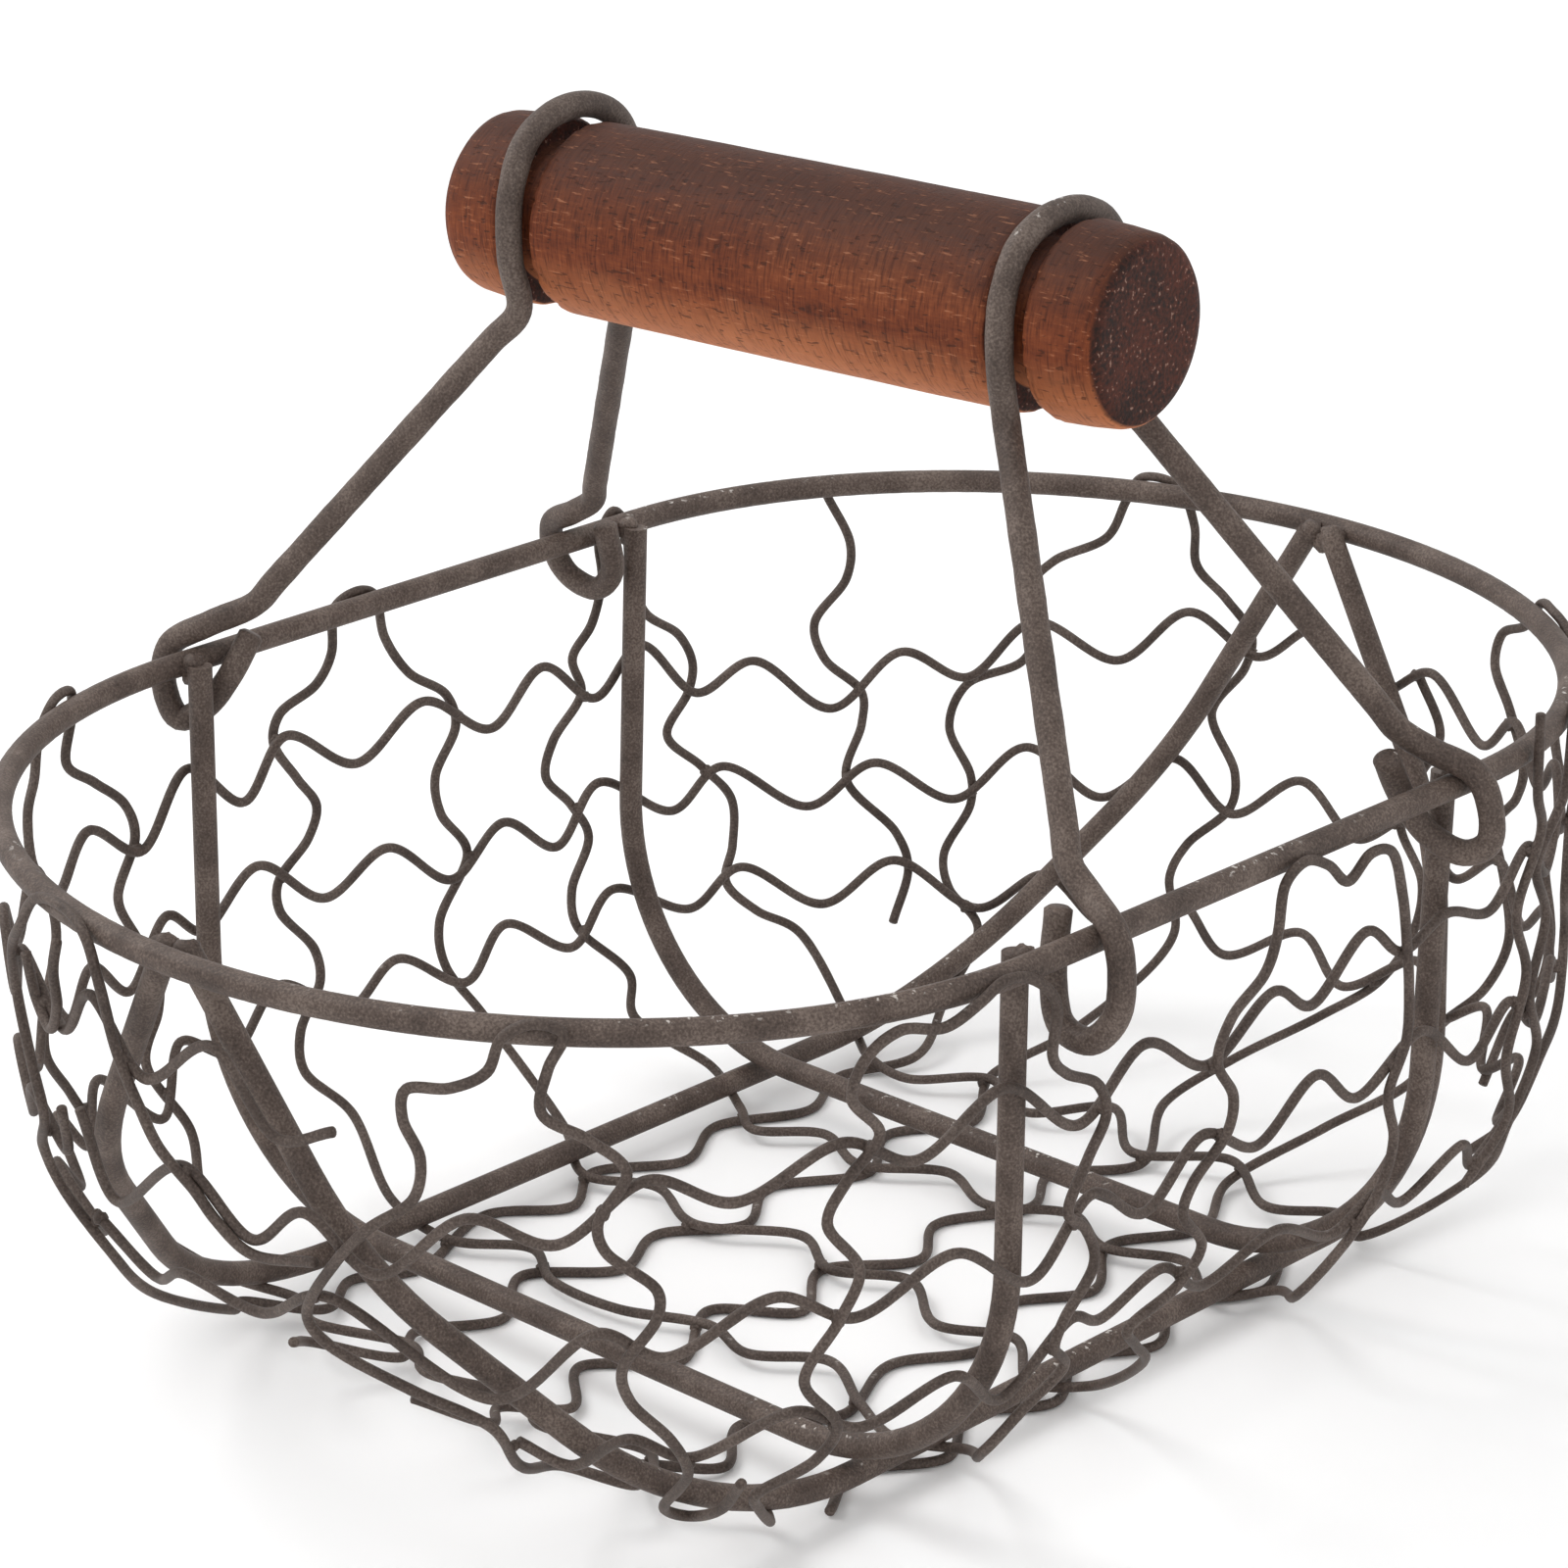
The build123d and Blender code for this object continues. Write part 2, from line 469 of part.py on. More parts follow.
# ---------------------------------------------------------------- build and write every piece
def main():
    save(make_rim(), "rim")
    save(make_cross_rib(*FRONT_RIB_Y), "front_cross_rib")
    save(make_cross_rib(*REAR_RIB_Y), "rear_cross_rib")
    save(make_long_rib(-1), "left_long_rib")
    save(make_long_rib(1), "right_long_rib")
    save(make_bail("left"), "left_bail")
    save(make_bail("right"), "right_bail")
    save(make_roller(), "handle_roller")

    for row, stations in enumerate(ROWS):
        for part, stretch in enumerate(cut_at_ribs(corners(stations))):
            save(make_row(stretch), f"row_{row + 1}_wire_{part + 1}")
    for index, stations in enumerate(HAIRPINS):
        save(make_upright(stations), f"hairpin_wire_{index + 1:02d}")
    for index, stations in enumerate(SHORT_WIRES):
        save(make_upright(stations), f"short_wire_{index + 1}")
    for index, stations in enumerate(FLOOR_CROSS_WIRES):
        save(make_floor_wire(stations, 0.0), f"floor_cross_wire_{index + 1}")
    for index, stations in enumerate(FLOOR_LONG_WIRES):
        save(make_floor_wire(stations, FLOOR_LONG_LAYER), f"floor_long_wire_{index + 1}")


main()
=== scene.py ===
import json
import random
from math import acos, cos, hypot, pi, radians, sin, sqrt

import bpy
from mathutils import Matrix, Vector, kdtree, noise


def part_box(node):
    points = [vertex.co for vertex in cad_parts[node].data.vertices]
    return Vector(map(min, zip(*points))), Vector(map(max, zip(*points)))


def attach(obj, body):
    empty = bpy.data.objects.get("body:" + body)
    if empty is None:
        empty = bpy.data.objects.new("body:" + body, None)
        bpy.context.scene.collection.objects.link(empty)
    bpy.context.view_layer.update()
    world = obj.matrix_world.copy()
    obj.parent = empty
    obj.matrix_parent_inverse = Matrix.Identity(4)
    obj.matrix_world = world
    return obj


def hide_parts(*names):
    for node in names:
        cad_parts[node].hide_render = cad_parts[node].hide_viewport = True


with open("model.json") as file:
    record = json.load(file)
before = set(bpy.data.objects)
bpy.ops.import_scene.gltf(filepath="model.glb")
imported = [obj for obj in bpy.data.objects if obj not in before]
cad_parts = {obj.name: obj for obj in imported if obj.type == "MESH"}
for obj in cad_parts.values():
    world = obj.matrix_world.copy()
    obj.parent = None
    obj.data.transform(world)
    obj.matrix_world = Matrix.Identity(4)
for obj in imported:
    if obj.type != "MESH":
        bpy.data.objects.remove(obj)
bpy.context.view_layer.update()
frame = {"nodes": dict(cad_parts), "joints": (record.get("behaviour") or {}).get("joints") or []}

# Lengths are millimetres and become metres only in metres(). The places on the wall are
# (distance along the rim, depth down the wall): distance runs from the middle of the left side,
# past the rear end, the right side and the front end.
MM = 0.001
FRAME_RADIUS = 2.0
MESH_RADIUS = 0.75
GAP = 0.05
RIM_STRAIGHT = 51.6
WALL_SKIN_IN = 1.1
WALL_LEAN = (3.0, 15.0)
SIDE_BEND = 44.5
FRONT_END_BEND = 76.0
REAR_END_BEND = 54.0
FLOOR_FLAT_Y = (-50.0, 62.0)
FLOOR_BEND = 68.0
FLOOR_SIDE = 58.0           # past this distance from the middle the cross wires start to rise
FLOOR_SIDE_RISE = 0.45
OVER_RIM_ROOM = 0.3
UPRIGHT_LAYER = 1.6
UPRIGHT_LAYER_AT = 9.0

ROWS = (
    ((-217, 19), (-208, 22), (-199, 10), (-183, 20), (-174, 10), (-162, 20), (-150, 12),
     (-137, 24), (-124, 16), (-110, 27), (-98, 20), (-88, 28), (-77, 21), (-62, 29), (-51, 18),
     (-39, 27), (-30, 18), (-14, 27), (1, 20), (17, 29), (29, 21), (42, 30), (53, 23), (67, 35),
     (79, 31), (95, 42), (108, 32), (120, 37), (132, 26), (147, 32), (160, 21), (173, 27),
     (185, 19), (198, 27), (211, 20), (226, 28), (237, 20), (249, 27), (260, 19), (271, 26),
     (283, 18), (294, 25), (305, 17), (317, 24), (329, 21), (340, 24), (349, 18), (362, 26),
     (371, 21), (386, 28), (401, 20), (415, 28), (432, 17), (448, 24), (460, 19), (476, 26),
     (488, 22), (501, 32), (513, 29), (528, 41), (538, 33), (549, 41), (559, 32), (583, 47),
     (585, 32)),
    ((-157, 35), (-153, 44), (-142, 38), (-130, 47), (-118, 40), (-106, 50), (-95, 43), (-86, 50),
     (-78, 44), (-67, 52), (-57, 42), (-49, 47), (-37, 39), (-22, 49), (-8, 44), (7, 54),
     (19, 47), (32, 55), (42, 46), (61, 56), (72, 50), (90, 60), (103, 53), (118, 60), (131, 50),
     (145, 58), (158, 49), (170, 57), (183, 48), (196, 55), (209, 47), (221, 54), (234, 46),
     (246, 53), (259, 45), (271, 52), (284, 44), (296, 50), (309, 42), (321, 48), (334, 39),
     (350, 45), (360, 38), (374, 45), (387, 39), (400, 47), (412, 40), (425, 49), (441, 40),
     (458, 46), (470, 41), (486, 50), (495, 46), (513, 63), (537, 48), (554, 58), (571, 57),
     (589, 66), (597, 58)),
    ((-151, 57), (-141, 65), (-129, 57), (-117, 67), (-105, 59), (-97, 68), (-82, 62), (-68, 74),
     (-57, 64), (-47, 69), (-34, 61), (-21, 69), (-8, 64), (5, 72), (17, 65), (30, 73), (43, 66),
     (60, 74), (74, 69), (90, 78), (106, 71), (123, 80), (136, 73), (150, 81), (163, 74),
     (177, 82), (191, 74), (206, 80), (220, 70), (232, 77), (245, 69), (257, 76), (270, 68),
     (282, 75), (295, 66), (307, 73), (319, 64), (331, 71), (341, 65), (349, 70), (367, 62),
     (383, 66), (395, 58), (408, 62), (415, 59), (427, 69), (440, 60), (455, 66), (466, 61),
     (482, 72), (491, 68), (503, 81), (511, 75)),
)
HAIRPINS = (
    ((-28, 85), (-33, 76), (-31, 70), (-24, 63), (-24, 58), (-31, 49), (-31, 44), (-24, 38),
     (-22, 33), (-26, 27), (-31, 19), (-29, 15), (-20, 12), (-16, 8), (-15, 0), (-11, -2),
     (-6, 0), (-4, 8), (0, 15), (8, 21), (10, 27), (5, 35), (6, 42), (12, 51), (4, 61), (3, 68),
     (7, 78)),
    ((37, 88), (41, 81), (34, 70), (35, 64), (41, 56), (37, 49), (31, 42), (33, 36), (40, 29),
     (38, 22), (43, 17), (47, 10), (47, 3), (49, -2), (53, 1), (54, 11), (56, 18), (64, 24),
     (67, 30), (66, 35), (61, 42), (69, 50), (75, 57), (74, 65), (71, 71), (76, 77), (84, 82)),
    ((123, 83), (117, 76), (116, 70), (121, 61), (121, 56), (117, 47), (120, 39), (130, 34),
     (133, 26), (131, 20), (135, 15), (144, 10), (147, 3), (150, -2), (156, -1), (159, 6),
     (160, 13), (166, 18), (171, 24), (170, 30), (164, 40), (169, 50), (169, 56), (162, 64),
     (160, 70), (164, 80)),
    ((238, 86), (233, 78), (239, 67), (240, 58), (234, 50), (229, 42), (236, 34), (238, 28),
     (232, 20), (225, 14), (225, 9), (232, 5), (238, -1), (244, -2), (250, 0), (252, 8),
     (250, 16), (258, 24), (256, 32), (250, 40), (257, 50), (258, 58), (252, 67), (258, 78)),
    ((277, 84), (282, 74), (276, 64), (281, 53), (276, 42), (282, 32), (277, 21), (283, 10),
     (284, 0), (289, -2), (295, 0), (297, 10), (304, 20), (298, 31), (304, 42), (299, 53),
     (305, 64), (300, 76)),
    ((348, 84), (346, 70), (343, 62), (342, 54), (344, 46), (340, 38), (340, 29), (341, 22),
     (344, 13), (349, 4), (354, 3), (359, 6), (364, 2), (369, 0), (374, 2), (375, 10), (376, 16),
     (383, 21), (386, 27), (382, 34), (383, 39), (391, 45), (393, 49), (388, 56), (392, 61),
     (402, 65), (398, 70), (392, 76)),
    ((425, 80), (422, 72), (416, 66), (420, 61), (419, 57), (413, 50), (415, 44), (419, 40),
     (415, 33), (411, 27), (413, 22), (420, 18), (424, 14), (425, 5), (430, 0), (435, -1),
     (440, 1), (446, 3), (453, 2), (458, 5), (460, 11), (455, 18), (460, 24), (463, 30),
     (458, 38), (461, 45), (466, 54), (460, 63), (462, 70), (470, 80), (468, 86)),
    ((473, 76), (475, 88), (480, 96), (485, 91), (482, 73), (485, 65), (491, 57), (492, 51),
     (487, 42), (487, 38), (494, 32), (495, 28), (491, 20), (496, 15), (502, 11), (501, 4),
     (499, -1), (503, -2), (507, 0), (509, 5), (514, 8), (520, 9), (521, 14), (519, 20),
     (520, 26), (527, 32), (533, 39), (541, 52), (539, 57), (526, 63), (514, 68), (512, 81)),
    ((-213, 40), (-201, 42), (-196, 38), (-193, 34), (-187, 29), (-184, 24), (-180, 17),
     (-179, 6), (-176, 0), (-170, -2), (-162, -1), (-157, 5), (-151, 11), (-147, 20), (-152, 29),
     (-153, 37), (-145, 46), (-144, 54), (-150, 64), (-144, 76)),
    ((-96, 78), (-88, 69), (-90, 61), (-95, 52), (-91, 45), (-86, 36), (-88, 28), (-94, 20),
     (-92, 13), (-87, 9), (-84, 3), (-81, -2), (-76, -2), (-74, 3), (-77, 10), (-71, 15),
     (-64, 21), (-62, 27), (-67, 36), (-63, 44), (-58, 52), (-59, 58), (-65, 65), (-61, 78),
     (-66, 85)),
)
SHORT_WIRES = (
    ((95, 3), (99, 12), (98, 18), (92, 26), (94, 33), (101, 40), (101, 46), (98, 56), (107, 66),
     (109, 72), (105, 82)),
    ((206, 22), (212, 31), (207, 41), (204, 50), (212, 58), (214, 66), (212, 76), (204, 86)),
    ((310, -7), (310, 6), (305, 14), (311, 26), (306, 38), (312, 50), (307, 62), (312, 74)),
    ((-169, 3), (-167, 8), (-165, 15), (-161, 20), (-157, 17), (-158, 9)),
)
FLOOR_CROSS_WIRES = (
    ((-64, -33), (-50, -33), (-38, -26), (-27, -32), (-12, -32), (3, -26), (14, -29), (25, -22),
     (38, -29), (50, -34), (62, -32)),
    ((-64, 7), (-52, 0), (-40, 5), (-25, -1), (-9, 8), (3, 2), (15, 8), (29, -1), (41, 4),
     (53, -6), (63, -4)),
    ((-64, 43), (-52, 38), (-44, 33), (-34, 40), (-21, 35), (-8, 43), (5, 38), (18, 45), (30, 39),
     (43, 44), (54, 37), (63, 42)),
    ((-58, 74), (-50, 69), (-39, 67), (-27, 75), (-14, 70), (-2, 79), (10, 70), (26, 77),
     (40, 69), (52, 74), (58, 70)),
    ((-60, -74), (-48, -68), (-36, -75), (-24, -66), (-11, -74), (2, -66), (14, -74), (27, -65),
     (39, -73), (51, -66), (60, -72)),
)
FLOOR_LONG_WIRES = (
    ((-45, -84), (-52, -76), (-46, -64), (-53, -52), (-48, -42), (-55, -20), (-47, -8), (-54, 4),
     (-46, 18), (-52, 32), (-45, 48), (-51, 62), (-45, 76), (-51, 90)),
    ((-24, -90), (-30, -81), (-23, -69), (-31, -58), (-25, -45), (-34, -32), (-24, -19),
     (-29, -6), (-21, 7), (-28, 20), (-20, 36), (-28, 50), (-21, 64), (-29, 78), (-23, 94)),
    ((3, -90), (9, -80), (1, -70), (6, -60), (-4, -48), (6, -36), (-3, -20), (8, -10), (0, 3),
     (9, 17), (2, 29), (9, 45), (3, 57), (12, 70), (4, 86), (9, 98)),
    ((31, -85), (37, -77), (29, -68), (36, -57), (28, -45), (37, -32), (31, -14), (38, 0),
     (30, 14), (37, 28), (28, 43), (35, 58), (28, 74), (34, 92)),
    ((57, -56), (51, -44), (58, -31), (51, -18), (58, -6), (51, 8), (57, 20), (50, 33), (57, 47),
     (52, 58)),
)

rim_low, rim_high = (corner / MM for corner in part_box("rim"))
RIM_HALF_WIDTH = rim_high.x - FRAME_RADIUS
RIM_END_DEPTH = rim_high.y - FRAME_RADIUS - RIM_STRAIGHT
RIM_Z = (rim_low.z + rim_high.z) / 2
LONG_LAYER = 2 * MESH_RADIUS + GAP
COATED_RADIUS = 0.82         # the powder coat makes the wire look a little thicker
MOST_SWELL = 1.06            # tube() makes no wire thicker than this many times its radius
CROSS_DEPTH = RIM_Z - LONG_LAYER - COATED_RADIUS * MOST_SWELL
SKIN_OUT = FRAME_RADIUS + MESH_RADIUS + GAP
END_ARC = pi * sqrt((RIM_HALF_WIDTH**2 + RIM_END_DEPTH**2) / 2)
SIDE = 2 * RIM_STRAIGHT
PERIMETER = 2 * (SIDE + END_ARC)


# ---------------------------------------------------------------- places on the basket
def rim_point(distance):
    """Centre line of the rim at a distance along it, with its outward direction."""
    u = (distance + RIM_STRAIGHT) % PERIMETER
    if u < SIDE:
        return -RIM_HALF_WIDTH, u - RIM_STRAIGHT, -1.0, 0.0
    if u < SIDE + END_ARC:
        turn = pi * (u - SIDE) / END_ARC
        side, end = -1.0, 1.0
    elif u < 2 * SIDE + END_ARC:
        return RIM_HALF_WIDTH, RIM_STRAIGHT - (u - SIDE - END_ARC), 1.0, 0.0
    else:
        turn = pi * (u - 2 * SIDE - END_ARC) / END_ARC
        side, end = 1.0, -1.0
    x = side * RIM_HALF_WIDTH * cos(turn)
    y = end * (RIM_STRAIGHT + RIM_END_DEPTH * sin(turn))
    across = side * cos(turn) / RIM_HALF_WIDTH
    along = end * sin(turn) / RIM_END_DEPTH
    length = hypot(across, along)
    return x, y, across / length, along / length


def wall_point(distance, down, layer):
    """A point on the mesh wall: distance along the rim, down the wall, and out by a layer."""
    x, y, out_x, out_y = rim_point(distance)
    end_bend = FRONT_END_BEND if out_y < 0 else REAR_END_BEND
    bend = SIDE_BEND + (end_bend - SIDE_BEND) * out_y**2
    straight = CROSS_DEPTH - bend
    lean = min(max((down - WALL_LEAN[0]) / WALL_LEAN[1], 0.0), 1.0)
    offset = SKIN_OUT - lean * (WALL_SKIN_IN + FRAME_RADIUS)
    if -SKIN_OUT < down < 0:
        offset = sqrt(SKIN_OUT**2 - down**2)
    if down <= straight:
        drop = down
        offset += layer
    else:
        turn = (down - straight) / bend
        drop = straight + (bend + layer) * sin(turn)
        offset += layer - (bend + layer) * (1 - cos(turn))
    return Vector((x + out_x * offset, y + out_y * offset, RIM_Z - drop))


def row_points(stations):
    return [wall_point(distance, down, 0.0) for distance, down in stations]


def upright_points(stations):
    points = []
    for distance, down in stations:
        below = min(max(down / UPRIGHT_LAYER_AT, 0.0), 1.0)
        layer = OVER_RIM_ROOM + below * (UPRIGHT_LAYER - OVER_RIM_ROOM)
        points.append(wall_point(distance, down, layer))
    return points


def floor_points(stations, layer):
    """Points a layer under the bottom wires, which curve up towards the rounded ends."""
    points = []
    for x, y in stations:
        past_flat = max(FLOOR_FLAT_Y[0] - y, y - FLOOR_FLAT_Y[1], 0.0)
        level = sqrt(FLOOR_BEND**2 - past_flat**2)
        lift = FLOOR_BEND - level + FLOOR_SIDE_RISE * max(abs(x) - FLOOR_SIDE, 0.0)
        points.append(Vector((x, y, RIM_Z - CROSS_DEPTH + lift - layer * FLOOR_BEND / level)))
    return points


def flow(points, step):
    """A smooth line through the points, as points about a step apart."""
    ends = [2 * points[0] - points[1]] + list(points) + [2 * points[-1] - points[-2]]
    line = []
    for a, b, c, d in zip(ends, ends[1:], ends[2:], ends[3:]):
        knots = [0.0]
        for p, q in ((a, b), (b, c), (c, d)):
            knots.append(knots[-1] + max((q - p).length, 1e-6) ** 0.5)
        count = max(2, round((c - b).length / step))
        for i in range(count):
            t = knots[1] + (knots[2] - knots[1]) * i / count
            ab = a.lerp(b, (t - knots[0]) / (knots[1] - knots[0]))
            bc = b.lerp(c, (t - knots[1]) / (knots[2] - knots[1]))
            cd = c.lerp(d, (t - knots[2]) / (knots[3] - knots[2]))
            abc = ab.lerp(bc, (t - knots[0]) / (knots[2] - knots[0]))
            bcd = bc.lerp(cd, (t - knots[1]) / (knots[3] - knots[1]))
            line.append(abc.lerp(bcd, (t - knots[1]) / (knots[2] - knots[1])))
    line.append(points[-1].copy())
    return line


# ---------------------------------------------------------------- mesh building
def metres(points):
    return [tuple(value * MM for value in point) for point in points]


def make_piece(name, points, faces, materials, body, slot_name, replaced):
    """A mesh from points in millimetres, which rides on a body and stands for CAD nodes."""
    mesh = bpy.data.meshes.new(name)
    mesh.from_pydata(metres(points), [], faces)
    mesh.update()
    for polygon in mesh.polygons:
        polygon.use_smooth = True
    for material in materials:
        mesh.materials.append(material)
    piece = bpy.data.objects.new(name, mesh)
    bpy.context.scene.collection.objects.link(piece)
    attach(piece, body)
    if replaced:
        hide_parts(*replaced)
    return piece


# How uneven a coated wire is, as shares of its radius, and the size of the lumps.
BROAD_SWELL = 0.035
BROAD_SCALE = 0.22
FINE_SWELL = 0.02
FINE_SCALE = 3.1
# The rounded cut end of a wire, as shares of its radius.
TIP_WIDTH = 0.72
TIP_LENGTH = 0.22


def tube(line, radius, sides, seed):
    """Points and faces of a round wire with two cut ends, a little uneven as coated wire is."""
    count = len(line)
    tangents = []
    for i in range(count):
        before = line[max(i - 1, 0)]
        after = line[min(i + 1, count - 1)]
        tangents.append((after - before).normalized())
    across = tangents[0].orthogonal().normalized()
    rings = []
    for i, point in enumerate(line):
        across = (across - tangents[i] * across.dot(tangents[i])).normalized()
        side = tangents[i].cross(across)
        place = point * BROAD_SCALE + Vector((seed, 2 * seed, 0))
        swell = 1 + BROAD_SWELL * noise.noise(place) + FINE_SWELL * noise.noise(place * FINE_SCALE)
        ring = []
        for k in range(sides):
            angle = 2 * pi * k / sides
            ring.append(point + radius * swell * (across * cos(angle) + side * sin(angle)))
        rings.append(ring)
    for end, inward in ((0, 1), (-1, -1)):
        centre = line[end]
        past = inward * tangents[end] * TIP_LENGTH * radius
        tip = [centre + TIP_WIDTH * (point - centre) - past for point in rings[end]]
        rings.insert(0 if end == 0 else len(rings), tip)
    points = [point for ring in rings for point in ring]
    faces = []
    for i in range(len(rings) - 1):
        a, b = i * sides, (i + 1) * sides
        for k in range(sides):
            n = (k + 1) % sides
            faces.append((a + k, a + n, b + n, b + k))
    faces.append(tuple(range(sides))[::-1])
    faces.append(tuple(range((len(rings) - 1) * sides, len(rings) * sides)))
    return points, faces


def nodes_like(*starts):
    return sorted(n for n in frame["nodes"] if n.startswith(starts))


# ---------------------------------------------------------------- materials
def new_material(name):
    material = bpy.data.materials.new(name)
    material.use_nodes = True
    tree = material.node_tree
    shader = tree.nodes["Principled BSDF"]
    return material, tree, shader


def add(tree, kind, **values):
    node = tree.nodes.new(kind)
    for key, value in values.items():
        if hasattr(node, key):
            setattr(node, key, value)
        else:
            node.inputs[key.replace("_", " ")].default_value = value
    return node


def noise_at(tree, vector, scale, detail=3.0, roughness=0.5):
    node = add(tree, "ShaderNodeTexNoise", Scale=scale, Detail=detail, Roughness=roughness)
    tree.links.new(vector, node.inputs["Vector"])
    return node.outputs["Fac"]


def ramp(tree, value, *stops):
    """A colour ramp: stops are (place, grey or colour)."""
    node = add(tree, "ShaderNodeValToRGB")
    elements = node.color_ramp.elements
    while len(elements) < len(stops):
        elements.new(0.5)
    for element, (place, colour) in zip(elements, stops):
        element.position = place
        element.color = (*colour, 1) if isinstance(colour, tuple) else (colour,) * 3 + (1,)
    tree.links.new(value, node.inputs["Fac"])
    return node.outputs["Color"]


def mix(tree, share, first, second, blend="MIX"):
    node = add(tree, "ShaderNodeMix", data_type="RGBA", blend_type=blend)
    for socket, value in ((node.inputs[0], share), (node.inputs[6], first), (node.inputs[7], second)):
        if isinstance(value, bpy.types.NodeSocket):
            tree.links.new(value, socket)
        elif isinstance(value, tuple):
            socket.default_value = (*value, 1)
        else:
            socket.default_value = value
    return node.outputs[2]


def math_node(tree, operation, *values):
    node = add(tree, "ShaderNodeMath", operation=operation)
    for socket, value in zip(node.inputs, values):
        if isinstance(value, bpy.types.NodeSocket):
            tree.links.new(value, socket)
        else:
            socket.default_value = value
    return node.outputs[0]


def place_of(tree):
    return add(tree, "ShaderNodeTexCoord").outputs["Object"]


def bump(tree, shader, height, strength, distance):
    node = add(tree, "ShaderNodeBump", Strength=strength, Distance=distance)
    tree.links.new(height, node.inputs["Height"])
    tree.links.new(node.outputs["Normal"], shader.inputs["Normal"])


def wire_material(name, dark, middle, light, rubbed_and_sparkle_amount):
    """Matte powder coat with a fine grain, and light flecks on upward faces that are partly rubbed-off
    metal and partly a painted sparkle highlight.
    """
    material, tree, shader = new_material(name)
    place = place_of(tree)
    grain = noise_at(tree, place, 2600.0, 2.0)
    patches = noise_at(tree, place, 120.0, 4.0)
    tone = math_node(tree, "MULTIPLY_ADD", grain, 0.55, math_node(tree, "MULTIPLY", patches, 0.45))
    coat = ramp(tree, tone, (0.34, dark), (0.5, middle), (0.66, light))
    up = add(tree, "ShaderNodeSeparateXYZ")
    tree.links.new(add(tree, "ShaderNodeNewGeometry").outputs["Normal"], up.inputs[0])
    # Painted sparkle highlight: the light flecks are kept to upward faces, where the light falls; they
    # also stand for rubbed-off metal.
    top = ramp(tree, up.outputs["Z"], (0.72, 0.0), (0.95, 1.0))
    flecks = ramp(tree, noise_at(tree, place, 900.0, 2.0), (0.62, 0.0), (0.68, 1.0))
    zones = ramp(tree, noise_at(tree, place, 28.0, 2.0), (0.52, 0.0), (0.62, 1.0))
    rubbed_metal_and_sparkle = math_node(tree, "MULTIPLY", math_node(tree, "MULTIPLY", top, zones), flecks)
    rubbed_metal_and_sparkle = math_node(tree, "MULTIPLY", rubbed_metal_and_sparkle, rubbed_and_sparkle_amount)
    tree.links.new(mix(tree, rubbed_metal_and_sparkle, coat, (0.62, 0.58, 0.54)), shader.inputs["Base Color"])
    shader.inputs["Specular IOR Level"].default_value = 0.3
    tree.links.new(math_node(tree, "MULTIPLY", rubbed_metal_and_sparkle, 0.8), shader.inputs["Metallic"])
    rough = math_node(tree, "MULTIPLY_ADD", grain, 0.2, 0.5)
    tree.links.new(math_node(tree, "MULTIPLY_ADD", rubbed_metal_and_sparkle, -0.25, rough), shader.inputs["Roughness"])
    bump(tree, shader, grain, 0.5, 0.00012)
    return material


ROLLER_THICKNESS_M = 0.0306


